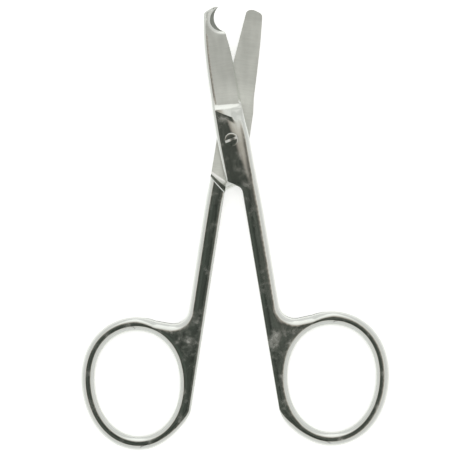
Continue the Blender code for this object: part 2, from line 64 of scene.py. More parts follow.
# How far each edge is rounded over.
SHANK_EDGE = 0.85
SEAM_EDGE = 0.42
ARCH_EDGE = SEAM_EDGE * 0.6
SHARP_EDGE = 0.12
RING_EDGE = 0.92
WEB_EDGE = 1.45
DEEPEST_EDGE = 1.20
HOLE_EDGE = 0.98
SPINE_EDGE = 0.48
BOSS_EDGE = 0.60
TIP_EDGE = 0.2

# How finely it is drawn.
OUTLINE_STEP = 0.35
BLADE_STEP = 0.4
TIP_STEP = 0.15
EDGE_STEPS = 9
GRID = 0.30


def between(a, b, share):
    return a + (b - a) * share


def smooth(a, b, value):
    """Goes softly from 0 at a to 1 at b."""
    share = min(1.0, max(0.0, (value - a) / (b - a)))
    return share * share * (3 - 2 * share)


def arc(centre, radius, start, end, steps):
    turns = [math.radians(between(start, end, i / steps)) for i in range(steps + 1)]
    return [(centre[0] + radius * math.cos(t), centre[1] + radius * math.sin(t)) for t in turns]


def flowing(points, step):
    """A smooth line through points with any number of values each, sampled about every step."""
    sampled = []
    for i in range(len(points) - 1):
        a, b = points[max(i - 1, 0)], points[i]
        c, d = points[i + 1], points[min(i + 2, len(points) - 1)]
        before, span, after = (math.dist(m[:2], n[:2]) for m, n in ((a, b), (b, c), (c, d)))
        leave, arrive = span / (before + span), span / (span + after)
        count = max(1, round(span / step))
        for k in range(count):
            t = k / count
            sampled.append(tuple(
                (1 + 2 * t) * (1 - t) ** 2 * q + t * (1 - t) ** 2 * (r - p) * leave
                + t * t * (3 - 2 * t) * r + t * t * (t - 1) * (s - q) * arrive
                for p, q, r, s in zip(a, b, c, d)))
    return sampled + [points[-1]]


RING_ASIDE = 11.50
RING_SWELL = 0.041
RING_FULLNESS = 0.13
BAND_SIDE = 2.72
BAND_END = 2.83


def hole_point(ring, turn, grow=0.0):
    """Point at an angle of a finger hole's oval, fuller at its upper end, moved outwards by grow."""
    reach, half_length, half_width, lean = ring
    grow += RING_FULLNESS * math.sin(2 * turn) ** 2
    swell = 1 + RING_SWELL * math.sin(turn)
    x, y = half_width * swell * math.cos(turn), half_length * math.sin(turn)
    along_x = half_width * (RING_SWELL * math.cos(turn) ** 2 - swell * math.sin(turn))
    along_y = half_length * math.cos(turn)
    scale = grow / math.hypot(along_x, along_y)
    x, y = x + along_y * scale, y - along_x * scale
    return (SEAM_X + RING_ASIDE + x * math.cos(lean) + y * math.sin(lean),
            -reach - x * math.sin(lean) + y * math.cos(lean))


def rim_point(ring, turn):
    """Point at an angle of the ring's outside: the band is a little wider at the ring's two ends."""
    return hole_point(ring, turn, between(BAND_SIDE, BAND_END, math.sin(turn) ** 2))


def rim_turn(ring, axis, value, guess):
    """Angle within 40 degrees of guess where the ring's outside has a given x (axis 0) or y (axis 1)."""
    low, high = math.radians(guess - 40), math.radians(guess + 40)
    rising = rim_point(ring, high)[axis] > rim_point(ring, low)[axis]
    for _ in range(40):
        middle = (low + high) / 2
        if (rim_point(ring, middle)[axis] < value) == rising:
            low = middle
        else:
            high = middle
    return low


BOSS_END_ANGLE = math.radians(33)
ARCH_RADIUS = 1.5
WEB_RADIUS = 3.2
WEB_ABOVE_HOLE = 2.46
WEB_ASIDE = 9.8
HEEL_POINTS = 34
RIM_POINTS = 200
WEB_POINTS = 22


def handle_outline(ring, heel, boss_end):
    """Down the inner edge, round the ring and up the outer edge to the joint: (x, y, edge radius).

    The inner edge has a radius for its lower side and one for its upper side, where no hand rounds it. Heel
    says how far above the ring's end the shank turns into it, how straight the curve leaves and arrives,
    and how far above that end it meets the ring.
    """
    end_y = -ring[0] - ring[1] - BAND_END
    web_y = -ring[0] + ring[1] + WEB_ABOVE_HOLE
    heel_rise, heel_leave, heel_arrive, end_rise = heel
    heel_y = end_y + heel_rise
    heel_end = rim_turn(ring, axis=1, value=end_y + end_rise, guess=232)
    web_start = rim_turn(ring, axis=0, value=SEAM_X + WEB_ASIDE, guess=112)
    arch_turn = 90 - math.degrees(BOSS_END_ANGLE)
    arch_y = boss_end - ARCH_RADIUS * math.tan(math.radians(arch_turn) / 2)
    arch = arc((SHANK_INNER - ARCH_RADIUS, arch_y), ARCH_RADIUS, arch_turn, 0, 16)
    points = [(*p, ARCH_EDGE, SHARP_EDGE) for p in arch]
    points += flowing([(SHANK_INNER, arch_y - 0.3, ARCH_EDGE, SHARP_EDGE),
                       (SHANK_INNER, TAPER_START_Y, SEAM_EDGE, SHARP_EDGE),
                       (SHANK_INNER, heel_y + 0.3, SEAM_EDGE, SHARP_EDGE)], OUTLINE_STEP)
    end, after = Vector(rim_point(ring, heel_end)), Vector(rim_point(ring, heel_end + 0.01))
    pull = (end - after).normalized() * heel_arrive
    knots = [Vector((SHANK_INNER, heel_y)), Vector((SHANK_INNER, heel_y - heel_leave)), end + pull, end]
    curve = interpolate_bezier(*(k.to_3d() for k in knots), HEEL_POINTS)
    points += [(p.x, p.y, between(SEAM_EDGE, RING_EDGE, i / (HEEL_POINTS - 1)),
                between(SHARP_EDGE, RING_EDGE, min(1.0, i / 20))) for i, p in enumerate(curve)]
    turn = web_start + math.tau - heel_end
    for i in range(1, RIM_POINTS + 1):
        edge = between(WEB_EDGE, RING_EDGE, min(1.0, (RIM_POINTS - i) / 18))
        points.append((*rim_point(ring, heel_end + turn * i / RIM_POINTS), edge))
    web = arc((SHANK_OUTER + WEB_RADIUS, web_y + WEB_RADIUS), WEB_RADIUS, 270, 180, WEB_POINTS)
    start = points[-1]
    points += [(between(start[0], web[0][0], k / 8), between(start[1], web[0][1], k / 8), WEB_EDGE)
               for k in range(1, 8)]
    points += [(*p, between(WEB_EDGE, SHANK_EDGE, i / WEB_POINTS)) for i, p in enumerate(web)]
    joint = [(SHANK_OUTER, web_y + 4.0, SHANK_EDGE), (SHANK_OUTER, TAPER_START_Y, SHANK_EDGE)]
    joint += [(JOINT_OUTER + x, y, edge) for x, y, edge in (
        (0.06, -7.0, 0.85), (0.0, -3.0, 0.85), (-0.02, 0.0, 0.85), (-0.12, 2.2, 0.85), (-0.25, 4.2, 0.55),
        (-0.36, 5.2, 0.25))]
    return points + flowing(joint, OUTLINE_STEP)


BOSS_CORNER_X = -2.46


def boss_outline(boss_end):
    """Down the boss's left side and along its slanted lower end to the arch."""
    corner_y = boss_end + (SHANK_INNER - BOSS_CORNER_X) * math.tan(BOSS_END_ANGLE)
    return flowing([(-2.82, BOSS_TOP_Y, BOSS_EDGE), (-2.83, 0.0, BOSS_EDGE),
                    (BOSS_CORNER_X, corner_y + 0.35, SPINE_EDGE * 0.8)], OUTLINE_STEP) + [
                        (-2.36, corner_y + 0.02, 0.2), (-2.11, corner_y - 0.23, 0.0)]


def inset(outline, share, side):
    """The outline moved inwards by a share of each point's edge radius: the lower (2) or the upper (-1)."""
    moved = []
    for i, point in enumerate(outline):
        x, y, radius = point[0], point[1], point[side]
        before, after = outline[i - 1], outline[(i + 1) % len(outline)]
        a = Vector((x - before[0], y - before[1])).normalized()
        b = Vector((after[0] - x, after[1] - y)).normalized()
        normal = Vector((-(a.y + b.y), a.x + b.x)).normalized()
        stretch = max(0.5, normal.dot(Vector((-a.y, a.x))))
        moved.append(Vector((x, y)) + normal * (radius * share / stretch))
    return moved


def wall(bm, outline):
    """Side wall with its upper and lower edges rounded; returns its lowest and highest loops."""
    turns = [math.pi / 2 * i / EDGE_STEPS for i in range(EDGE_STEPS + 1)]
    levels = [(1 - math.sin(t), 1 - math.cos(t)) for t in turns]
    loops = []
    for share, drop in levels:
        loops.append([bm.verts.new((p.x, p.y, drop * min(o[2], DEEPEST_EDGE)))
                      for p, o in zip(inset(outline, share, 2), outline)])
    for share, drop in reversed(levels):
        loops.append([bm.verts.new((p.x, p.y, THICKNESS - drop * min(o[-1], DEEPEST_EDGE)))
                      for p, o in zip(inset(outline, share, -1), outline)])
    for lower, upper in zip(loops, loops[1:]):
        for i in range(len(lower)):
            bm.faces.new((lower[i - 1], lower[i], upper[i], upper[i - 1]))
    return loops[0], loops[-1]


def within(places, loop):
    """Which places lie inside a closed loop."""
    x, y = np.array(places).T
    inside = np.zeros(len(x), bool)
    for (x0, y0), (x1, y1) in zip(loop, loop[1:] + loop[:1]):
        if y0 != y1:
            inside ^= ((y0 > y) != (y1 > y)) & (x < (x1 - x0) * (y - y0) / (y1 - y0) + x0)
    return inside


NET_LEFT, NET_WIDTH = -4.0, 30
NET_LOW, NET_LENGTH = -66.0, 94
NET_CLEAR = 0.55  # the share of its spacing that the net keeps from the rims and creases


def cap(bm, rims, height, creases=()):
    """Fills between the outer rim and the finger hole's with a fine even net of triangles."""
    places, edges, corners = [], [], []
    for rim in rims:
        start = len(places)
        for i, vertex in enumerate(rim):
            places.append(vertex.co.xy)
            edges.append((start + i, start + (i + 1) % len(rim)))
            corners.append(vertex)
    for crease in creases:
        edges += [(len(places) + i, len(places) + i + 1) for i in range(len(crease) - 1)]
        places += [Vector(p) for p in crease]
    near = KDTree(len(places))
    for i, place in enumerate(places):
        near.insert(place.to_3d(), i)
    near.balance()
    row = GRID * math.sqrt(3) / 2
    for j in range(round(NET_LENGTH / row)):
        for i in range(round(NET_WIDTH / GRID)):
            place = Vector((NET_LEFT + (i + 0.5 * (j % 2)) * GRID, NET_LOW + j * row))
            if near.find(place.to_3d())[2] > NET_CLEAR * GRID:
                places.append(place)
    found, _, faces, origins, _, _ = delaunay_2d_cdt(places, edges, [], 0, 0.00001, True)
    made = []
    for place, origin in zip(found, origins):
        rim = [o for o in origin if o < len(corners)]
        made.append(corners[rim[0]] if rim else None)
    middles = [sum((found[i] for i in face), Vector((0.0, 0.0))) / 3 for face in faces]
    outer, hole = (within(middles, [tuple(v.co.xy) for v in rim]) for rim in rims)
    for face in (f for f, kept in zip(faces, outer & ~hole) if kept):
        ring = []
        for i in face:
            if made[i] is None:
                made[i] = bm.verts.new((found[i].x, found[i].y, height))
            ring.append(made[i])
        bm.faces.new(ring)


def beyond_line(x, y, start, angle):
    """Distance past a line through start that runs at an angle, to its left."""
    return (y - start[1]) * math.cos(angle) - (x - start[0]) * math.sin(angle)


# The blade lies lower than the joint. Its face tilts across and thins towards the tip, a slope at its root
# climbs to the boss, and beside that a slanted facet falls away from the boss's corner.
BLADE_ROOT_Y = 7.1
ROOT_ANGLE = math.radians(-5.4)
ROOT_RISE = 0.52
BLADE_ABOVE_MIDDLE = 1.10
BLADE_TILT = 0.04
BLADE_THINNING = 0.38
BLADE_LENGTH = 19.2
FACET_START = (-2.15, 6.10)
FACET_ANGLE = math.radians(-30)
FACET_FALL = 0.020
FACET_STEEPENS = 0.030
FACET_STEEPEST = 0.175


def blade_top(x, y):
    """Height of the upper face from the boss to the tip."""
    root = beyond_line(x, y, (SEAM_X, BLADE_ROOT_Y), ROOT_ANGLE)
    face = MIDDLE + BLADE_ABOVE_MIDDLE - BLADE_TILT * x - BLADE_THINNING * max(0.0, root) / BLADE_LENGTH
    rise = max(0.0, -root) / (BLADE_ROOT_Y - BOSS_TOP_Y)
    slope = face + ROOT_RISE * rise * between(0.3, 1.0, rise)
    fall = min(FACET_STEEPEST, FACET_FALL + FACET_STEEPENS * (x - FACET_START[0]))
    facet = THICKNESS - fall * max(0.0, beyond_line(x, y, FACET_START, FACET_ANGLE))
    return max(face, min(THICKNESS, facet, slope))


# The narrow facet that makes the cutting edge climbs BEVEL_RISE over BEVEL_RUN. The edge is straight at
# first and then curves in, and next to the boss the facet fades out over BEVEL_FADE.
EDGE_X = 3.06
EDGE_CURVES_Y = 10.5
EDGE_CURVE = 0.0032
EDGE_ABOVE_MIDDLE = 0.42
BEVEL_RISE = 0.68
BEVEL_RUN = 0.42
BEVEL_FADE = 1.6


def bevel_edge(y):
    """Where the facet along the cutting edge ends, at the edge itself."""
    return EDGE_X - EDGE_CURVE * max(0.0, y - EDGE_CURVES_Y) ** 2


def cutting_bevel(x, y):
    share = min(1.0, max(0.0, (y - BOSS_TOP_Y) / BEVEL_FADE))
    facet = MIDDLE + EDGE_ABOVE_MIDDLE + max(0.0, bevel_edge(y) - x) * BEVEL_RISE / BEVEL_RUN
    return between(THICKNESS, facet, share)


def bevel_crease(end):
    """The line where the blade's face folds over into that facet."""
    line = []
    y = BLADE_ROOT_Y + 0.5
    while y < end:
        x = bevel_edge(y)
        for _ in range(4):
            x = bevel_edge(y) - (blade_top(x, y) - MIDDLE - EDGE_ABOVE_MIDDLE) * BEVEL_RUN / BEVEL_RISE
        line.append((x, y))
        y += 0.3
    return line


# Polishing takes most off the edges, leaves the shank crowned, and has folded the joint's face down on the
# right of the screw, from a line that leans across it to where it levels out again.
EDGE_WEAR = 0.03
WORN_EDGE = 0.9
CROWN = 0.007
CROWN_MIDDLE = 1.7
CROWN_REACH = 2.2
FOLD_X = 0.35
FOLD_LEAN = 0.17
FOLD_SLOPE = 0.070
FOLD_STEEPENS = 0.0047
LEVEL_X = 2.15


def polish_loss(x, y, inside, distance):
    """How much hand polishing has taken off an outer face, at a distance from the outline."""
    depth = distance if inside else -distance
    on_handle = smooth(-7.0, -10.0, y)
    on_shank = smooth(-8.0, -14.0, y) * smooth(-43.0, -36.0, y)
    loss = EDGE_WEAR * max(0.0, WORN_EDGE - depth) ** 2 * on_handle
    loss += CROWN * min(abs(x - CROWN_MIDDLE), CROWN_REACH) ** 2 * on_shank
    beside, past = max(0.0, x - FOLD_X + FOLD_LEAN * y), max(0.0, x - LEVEL_X)
    fold = beside ** 2 / (beside + 0.5) - 0.8 * past ** 2 / (past + 0.2) * smooth(3.5, 1.5, y)
    off_facet = smooth(-0.15, -0.85, beyond_line(x, y, FACET_START, FACET_ANGLE))
    by_blade = smooth(0.7, 1.7, x) * smooth(BOSS_TOP_Y, 4.6, y)
    slope = FOLD_SLOPE + max(0.0, FOLD_STEEPENS * y)
    return loss + slope * fold * max(off_facet, by_blade) * smooth(-11.5, -7.5, y)


def score(bm, start, angle, faces):
    """Adds an edge across the faces along a line, so that the surface can fold there."""
    around = list(dict.fromkeys(v for f in faces for v in f.verts))
    around += list(dict.fromkeys(e for f in faces for e in f.edges))
    bmesh.ops.bisect_plane(bm, geom=around + faces, dist=0.002, plane_co=(*start, 0.0),
                           plane_no=(-math.sin(angle), math.cos(angle), 0.0))


def upper_faces(bm):
    return [f for f in bm.faces if min(v.co.z for v in f.verts) > MIDDLE]


HOLE_POINTS = 220
HOLE_EDGE_CHANGE = 0.10
CLOSEST = 0.0008


def blank(name, outline, ring, taper_above, creases, worn):
    """The ground forging of one half in millimetres, closed, before its lap is cut."""
    bm = bmesh.new()
    turns = [-math.tau * i / HOLE_POINTS for i in range(HOLE_POINTS)]
    hole = [(*hole_point(ring, turn), HOLE_EDGE - HOLE_EDGE_CHANGE * math.cos(2 * turn)) for turn in turns]
    ends = [wall(bm, outline), wall(bm, hole)]
    rims = [[tuple(v.co.xy) for v in highest] for _, highest in ends]
    near = KDTree(sum(len(rim) for rim in rims))
    for i, place in enumerate(rims[0] + rims[1]):
        near.insert((*place, 0.0), i)
    near.balance()
    cap(bm, [lowest for lowest, _ in ends], 0.0)
    cap(bm, [highest for _, highest in ends], THICKNESS, creases)
    bmesh.ops.remove_doubles(bm, verts=bm.verts, dist=CLOSEST)
    bmesh.ops.dissolve_degenerate(bm, edges=bm.edges, dist=CLOSEST)
    bmesh.ops.recalc_face_normals(bm, faces=bm.faces)
    for share in (0.0, 0.2, 0.4, 0.6, 0.8, 1.0):
        score(bm, (SEAM_X, between(BLADE_ROOT_Y, BOSS_TOP_Y, share)), ROOT_ANGLE, upper_faces(bm))
    score(bm, FACET_START, FACET_ANGLE, upper_faces(bm))
    places = [tuple(v.co.xy) for v in bm.verts]
    inside = within(places, rims[0]) & ~within(places, rims[1])
    for vertex, kept in zip(bm.verts, inside):
        x, y, z = vertex.co
        loss = polish_loss(x, y, kept, near.find((x, y, 0.0))[2])
        taper = RING_DROP * min(1.0, max(0.0, (TAPER_START_Y - y) / (TAPER_START_Y - TAPER_END_Y)))
        if z > MIDDLE:
            if y > 0:
                z -= THICKNESS - min(blade_top(x, y) - worn(x, y), cutting_bevel(x, y))
            z -= loss
            if taper_above:
                z -= taper
        else:
            z += loss
            if not taper_above:
                z += taper
        vertex.co.z = z
    mesh = bpy.data.meshes.new(name)
    bm.to_mesh(mesh)
    bm.free()
    return mesh


def forge(name, blade, ring, heel, boss_end, taper_above, creases, worn=lambda x, y: 0.0):
    """One half's blank as an object: its handle, blade and boss in one outline."""
    outline = handle_outline(ring, heel, boss_end) + blade + boss_outline(boss_end)
    half = bpy.data.objects.new(name, blank(name, outline, ring, taper_above, creases, worn))
    bpy.context.scene.collection.objects.link(half)
    return half


def solid(name, bm):
    """Puts a mesh into the scene as an object."""
    mesh = bpy.data.meshes.new(name)
    bm.to_mesh(mesh)
    bm.free()
    made = bpy.data.objects.new(name, mesh)
    bpy.context.scene.collection.objects.link(made)
    return made


def prism(name, outline, low, high):
    """A cutter with a flat outline and straight sides."""
    bm = bmesh.new()
    base = bm.faces.new([bm.verts.new((x, y, low)) for x, y in outline])
    lifted = bmesh.ops.extrude_face_region(bm, geom=[base])["geom"]
    lifted = [v for v in lifted if isinstance(v, bmesh.types.BMVert)]
    bmesh.ops.translate(bm, vec=(0, 0, high - low), verts=lifted)
    bmesh.ops.recalc_face_normals(bm, faces=bm.faces)
    return solid(name, bm)


def drum(name, lower, lower_radius, upper, upper_radius, steps):
    """A cutter between two circles, each given by its centre (x, y, z)."""
    bm = bmesh.new()
    bmesh.ops.create_cone(bm, cap_ends=True, segments=steps, radius1=lower_radius, radius2=upper_radius,
                          depth=2)
    for vertex in bm.verts:
        centre = upper if vertex.co.z > 0 else lower
        vertex.co = (vertex.co.x + centre[0], vertex.co.y + centre[1], centre[2])
    return solid(name, bm)


def boolean(target, tool, operation="DIFFERENCE"):
    cut = target.modifiers.new(tool.name, "BOOLEAN")
    cut.operation = operation
    cut.solver = "EXACT"
    cut.object = tool


def settle(item):
    """Applies an object's modifiers."""
    mesh = bpy.data.meshes.new_from_object(item.evaluated_get(bpy.context.evaluated_depsgraph_get()))
    item.modifiers.clear()
    item.data = mesh


# The shoulder that the other half's boss swings into. It is ground hollow, from a crest that runs across
# the shank at SHOULDER_ANGLE down to the lap face, and the hollow narrows outwards.
SHOULDER_ANGLE = math.radians(38.5)
CREST_Y = -10.61
RAMP_LENGTH = 2.05
RAMP_NARROWS = 0.11
RAMP_STEPS = 24
RELIEF_OVERLAP = 0.10
CLEARANCE = 0.05

# Where the cutters end, clear of the forging: below it, above it and to its sides.
BELOW = -1.0
ABOVE = 4.0
FAR = 20.0


def ramp_profile(lift):
    """The shoulder's hollow, from its crest at full thickness to the lap face: distance and height."""
    turn = 2 * math.atan2(MIDDLE, RAMP_LENGTH)
    radius = RAMP_LENGTH / math.sin(turn)
    points = [(RAMP_LENGTH - (radius - lift) * math.sin(a), MIDDLE + radius - (radius - lift) * math.cos(a))
              for a in (turn * (RAMP_STEPS - i) / RAMP_STEPS for i in range(RAMP_STEPS + 1))]
    points[-1] = tuple(between(m, n, 2.0) for m, n in zip(*points[-2:]))
    return points


def stand(tool, angle):
    """Turns a prism drawn as (distance past the crest, height) so that it runs along the crest's line."""
    across = Vector((-math.sin(angle), math.cos(angle), 0.0))
    along = Vector((math.cos(angle), math.sin(angle), 0.0))
    turned = Matrix((across, Vector((0.0, 0.0, 1.0)), along)).transposed().to_4x4()
    for vertex in tool.data.vertices:
        if vertex.co.x > 0:
            vertex.co.x *= 1 - RAMP_NARROWS * vertex.co.z * math.copysign(1, angle)
    start = SHANK_INNER if angle > 0 else SHANK_INNER - RELIEF_OVERLAP
    tool.data.transform(Matrix.Translation((start, CREST_Y, 0.0)) @ turned)


def cut_lap(half):
    """Grinds the layer of the other half away, up to the hollow shoulder, and slopes the boss's end."""
    low = CREST_Y - 1
    high = low + (FAR - SHANK_INNER) * math.tan(SHOULDER_ANGLE)
    lap = prism("lap", [(SHANK_INNER, -FAR), (SHANK_INNER, low), (FAR, high), (FAR, 2 * FAR),
                        (-FAR, 2 * FAR), (-FAR, -FAR)], BELOW, LAP_FACE)
    inner = prism("inner", [(SHANK_INNER, -FAR), (FAR, -FAR), (FAR, FAR), (SHANK_INNER, FAR)], -FAR, FAR)
    under = [(s, THICKNESS - z + CLEARANCE) for s, z in ramp_profile(0.0)]
    under[0:1] = [(-0.42, -0.17), (0.0, 0.13)]  # the crest itself is eased, not left as a sharp corner
    ramp = prism("ramp", [(-2.0, under[0][1])] + under + [(under[-1][0], 3.0), (-2.0, 3.0)], -1.0, 5.0)
    stand(ramp, SHOULDER_ANGLE)
    boolean(ramp, inner, "INTERSECT")
    boolean(lap, ramp)
    hollow = ramp_profile(CLEARANCE)
    hollow = [(-1.0, 0.0), (hollow[-1][0], 0.0)] + hollow[::-1] + [(-1.0, hollow[0][1])]
    relief = prism("relief", hollow, -5.0, 1.0)
    stand(relief, -SHOULDER_ANGLE)
    boolean(relief, inner)
    boolean(half, lap)
    boolean(half, relief)
    return [inner, ramp, lap, relief]


def hexed(code):
    """A colour from its sRGB hex value."""
    parts = [int(code[i:i + 2], 16) / 255 for i in (1, 3, 5)]
    return (*(c / 12.92 if c <= 0.04045 else ((c + 0.055) / 1.055) ** 2.4 for c in parts), 1.0)


def new_material(name):
    material = bpy.data.materials.new(name)
    material.use_nodes = True
    tree = material.node_tree
    return material, tree, tree.nodes["Principled BSDF"]


def add(tree, kind, inputs=None, **settings):
    """Adds a node with its settings; each input is a value or another node's output."""
    made = tree.nodes.new(kind)
    for key, value in settings.items():
        setattr(made, key, value)
    for key, value in (inputs or {}).items():
        if isinstance(value, bpy.types.NodeSocket):
            tree.links.new(value, made.inputs[key])
        else:
            made.inputs[key].default_value = value
    return made


def per_mm(size):
    """Texture scale for a pattern that repeats about every so many millimetres."""
    return 1 / (size * MM)


# Hand-polished stainless steel: a clear mirror, very slightly wavy from the wheel, with cloudy patches
# where a thumb has hazed the webs, and a few bright specks of dust. The specks are drawn coarser than dust.
THUMB_MARK = (2.9 * MM, -42.0 * MM, 0.0)
THUMB_HAZE = 0.16
DUST_SHARE = 0.05
SPECK_RADIUS = 0.075
polished, tree, steel = new_material("polished_stainless")
steel.inputs["Metallic"].default_value = 1.0
place = add(tree, "ShaderNodeAttribute", attribute_name="drawn_place").outputs["Vector"]
tone = add(tree, "ShaderNodeTexNoise", {"Vector": place, "Scale": per_mm(9.0), "Detail": 2.0})
colour = add(tree, "ShaderNodeMix", {
    "Factor": tone.outputs["Fac"], "A": hexed("#d0d4cf"), "B": hexed("#dadbd6")}, data_type="RGBA")
tree.links.new(colour.outputs["Result"], steel.inputs["Base Color"])
where = add(tree, "ShaderNodeSeparateXYZ", {"Vector": place})
aside = add(tree, "ShaderNodeMath", {0: where.outputs["X"], 1: SEAM_X * MM}, operation="SUBTRACT")
aside = add(tree, "ShaderNodeMath", {0: aside.outputs[0]}, operation="ABSOLUTE")
flat = add(tree, "ShaderNodeCombineXYZ", {"X": aside.outputs[0], "Y": where.outputs["Y"]})
reach = add(tree, "ShaderNodeVectorMath", {0: flat.outputs[0], 1: THUMB_MARK}, operation="DISTANCE")
thumb = add(tree, "ShaderNodeMapRange", {
    "Value": reach.outputs["Value"], "From Min": 4.4 * MM, "From Max": 0.8 * MM})
haze = add(tree, "ShaderNodeTexNoise", {
    "Vector": place, "Scale": per_mm(2.6), "Detail": 3.0, "Roughness": 0.6})
haze = add(tree, "ShaderNodeMath", {
    0: thumb.outputs["Result"], 1: THUMB_HAZE, 2: haze.outputs["Fac"]}, operation="MULTIPLY_ADD")
cloud = add(tree, "ShaderNodeMapRange", {
    "Value": haze.outputs[0], "From Min": 0.50, "From Max": 0.80, "To Min": 0.07, "To Max": 0.29})
dust = add(tree, "ShaderNodeTexVoronoi", {"Vector": place, "Scale": per_mm(1.7)})
few = add(tree, "ShaderNodeSeparateColor", {"Color": dust.outputs["Color"]})
few = add(tree, "ShaderNodeMath", {0: few.outputs["Red"], 1: DUST_SHARE}, operation="LESS_THAN")
speck = add(tree, "ShaderNodeMath", {0: dust.outputs["Distance"], 1: SPECK_RADIUS}, operation="LESS_THAN")
speck = add(tree, "ShaderNodeMath", {0: speck.outputs[0], 1: few.outputs[0]}, operation="MULTIPLY")
rough = add(tree, "ShaderNodeMix", {"Factor": speck.outputs[0], "A": cloud.outputs["Result"], "B": 0.55})
tree.links.new(rough.outputs["Result"], steel.inputs["Roughness"])
wave = add(tree, "ShaderNodeTexNoise", {"Vector": place, "Scale": per_mm(3.2), "Detail": 1.5})
bump = add(tree, "ShaderNodeBump", {"Height": wave.outputs["Fac"], "Strength": 1.0, "Distance": 0.012 * MM})
drawn_out = add(tree, "ShaderNodeMapping", {"Vector": place, "Scale": (1.0, 0.2, 1.0)})
ripple = add(tree, "ShaderNodeTexNoise", {
    "Vector": drawn_out.outputs["Vector"], "Scale": per_mm(0.8), "Detail": 1.0})
bump = add(tree, "ShaderNodeBump", {
    "Height": ripple.outputs["Fac"], "Strength": 1.0, "Distance": 0.004 * MM,
    "Normal": bump.outputs["Normal"]})
tree.links.new(bump.outputs["Normal"], steel.inputs["Normal"])

# Satin-ground stainless steel: the flat of the blades and the lap faces, dull light grey from a fine
# abrasive belt that ran across the blade, so faint lines lie crosswise. Real lines are finer than a tenth
# of a millimetre and are drawn coarser to show. At past_border the satin meets the polish in a soft line.
satin, tree, steel = new_material("satin_ground_stainless")
steel.inputs["Metallic"].default_value = 1.0
place = add(tree, "ShaderNodeAttribute", attribute_name="drawn_place").outputs["Vector"]
stretch = add(tree, "ShaderNodeMapping", {"Vector": place, "Scale": (0.12, 1.0, 1.0)})
lines = add(tree, "ShaderNodeTexNoise", {
    "Vector": stretch.outputs["Vector"], "Scale": per_mm(0.35), "Detail": 4.0, "Roughness": 0.6})
drawn_out = add(tree, "ShaderNodeMapping", {"Vector": place, "Scale": (1.0, 0.3, 1.0)})
patch = add(tree, "ShaderNodeTexNoise", {
    "Vector": drawn_out.outputs["Vector"], "Scale": per_mm(2.2), "Detail": 2.0})
both = add(tree, "ShaderNodeMix", {"Factor": 0.65, "A": lines.outputs["Fac"], "B": patch.outputs["Fac"]})
both = add(tree, "ShaderNodeMapRange", {
    "Value": both.outputs["Result"], "From Min": 0.35, "From Max": 0.65})
colour = add(tree, "ShaderNodeMix", {
    "Factor": both.outputs["Result"], "A": hexed("#b5b7b1"), "B": hexed("#c7c9c3")}, data_type="RGBA")
# Painted highlight: the satin's colour is made lighter from the blade's root downwards, and lighter still
# on the lap face. Towards the tip it is made darker.
where = add(tree, "ShaderNodeSeparateXYZ", {"Vector": place})
root = add(tree, "ShaderNodeMapRange", {
    "Value": where.outputs["Y"], "From Min": 12.5 * MM, "From Max": 9.0 * MM},
    interpolation_type="SMOOTHSTEP")
lap = add(tree, "ShaderNodeMapRange", {
    "Value": where.outputs["Z"], "From Min": 2.0 * MM, "From Max": 1.6 * MM})
tip = add(tree, "ShaderNodeMapRange", {
    "Value": where.outputs["Y"], "From Min": 23.9 * MM, "From Max": 24.7 * MM, "To Max": -0.5})
painted_sheen_and_tip_tone = add(tree, "ShaderNodeMath", {
    0: lap.outputs["Result"], 1: 0.8, 2: root.outputs["Result"]}, operation="MULTIPLY_ADD")
painted_sheen_and_tip_tone = add(tree, "ShaderNodeMath", {0: painted_sheen_and_tip_tone.outputs[0], 1: tip.outputs["Result"]}, operation="ADD")
gain = add(tree, "ShaderNodeMapRange", {
    "Value": painted_sheen_and_tip_tone.outputs[0], "To Min": 1.0, "To Max": 1.22}, clamp=False)
colour = add(tree, "ShaderNodeMix", {
    "Factor": 1.0, "A": colour.outputs["Result"], "B": gain.outputs["Result"]},
    data_type="RGBA", blend_type="MULTIPLY")
rough = add(tree, "ShaderNodeMapRange", {"Value": lines.outputs["Fac"], "To Min": 0.36, "To Max": 0.46})
ground_share = add(tree, "ShaderNodeMapRange", {
    "Value": add(tree, "ShaderNodeAttribute", attribute_name="past_border").outputs["Fac"],
    "From Min": -0.06, "From Max": 0.10}, interpolation_type="SMOOTHSTEP")
colour = add(tree, "ShaderNodeMix", {
    "Factor": ground_share.outputs["Result"], "A": hexed("#d6d8d3"), "B": colour.outputs["Result"]},
    data_type="RGBA")
tree.links.new(colour.outputs["Result"], steel.inputs["Base Color"])
rough = add(tree, "ShaderNodeMix", {
    "Factor": ground_share.outputs["Result"], "A": 0.12, "B": rough.outputs["Result"]})
tree.links.new(rough.outputs["Result"], steel.inputs["Roughness"])
bump = add(tree, "ShaderNodeBump", {
    "Height": lines.outputs["Fac"], "Strength": 1.0, "Distance": 0.004 * MM})
tree.links.new(bump.outputs["Normal"], steel.inputs["Normal"])

# Wheel-ground stainless steel: the hook's hollow and the shoulder, left as they came off a small stone,
# duller than the satin. Its colour is darker than the satin's as painted shade for these hollows. Its grit
# is drawn at half a millimetre, coarser than it is, to show.
shaded_ground_steel, tree, steel = new_material("wheel_ground_painted_shade")
steel.inputs["Metallic"].default_value = 1.0
place = add(tree, "ShaderNodeAttribute", attribute_name="drawn_place").outputs["Vector"]
grit = add(tree, "ShaderNodeTexNoise", {"Vector": place, "Scale": per_mm(0.5), "Detail": 3.0})
colour = add(tree, "ShaderNodeMix", {
    # Painted shade: this dark grey stands for the shade in the hollows, not for the steel's own colour.
    "Factor": grit.outputs["Fac"], "A": hexed("#6f726c"), "B": hexed("#93968f")}, data_type="RGBA")
tree.links.new(colour.outputs["Result"], steel.inputs["Base Color"])
steel.inputs["Roughness"].default_value = 0.42

# Painted highlight: the foot of the shoulder's hollow is given a near-white steel colour that stands for
# the bright band that the light makes there, with a slightly soft shine.
painted_highlight_steel, tree, steel = new_material("painted_highlight_stainless")
steel.inputs["Metallic"].default_value = 1.0
steel.inputs["Base Color"].default_value = hexed("#eeeeea")
steel.inputs["Roughness"].default_value = 0.28
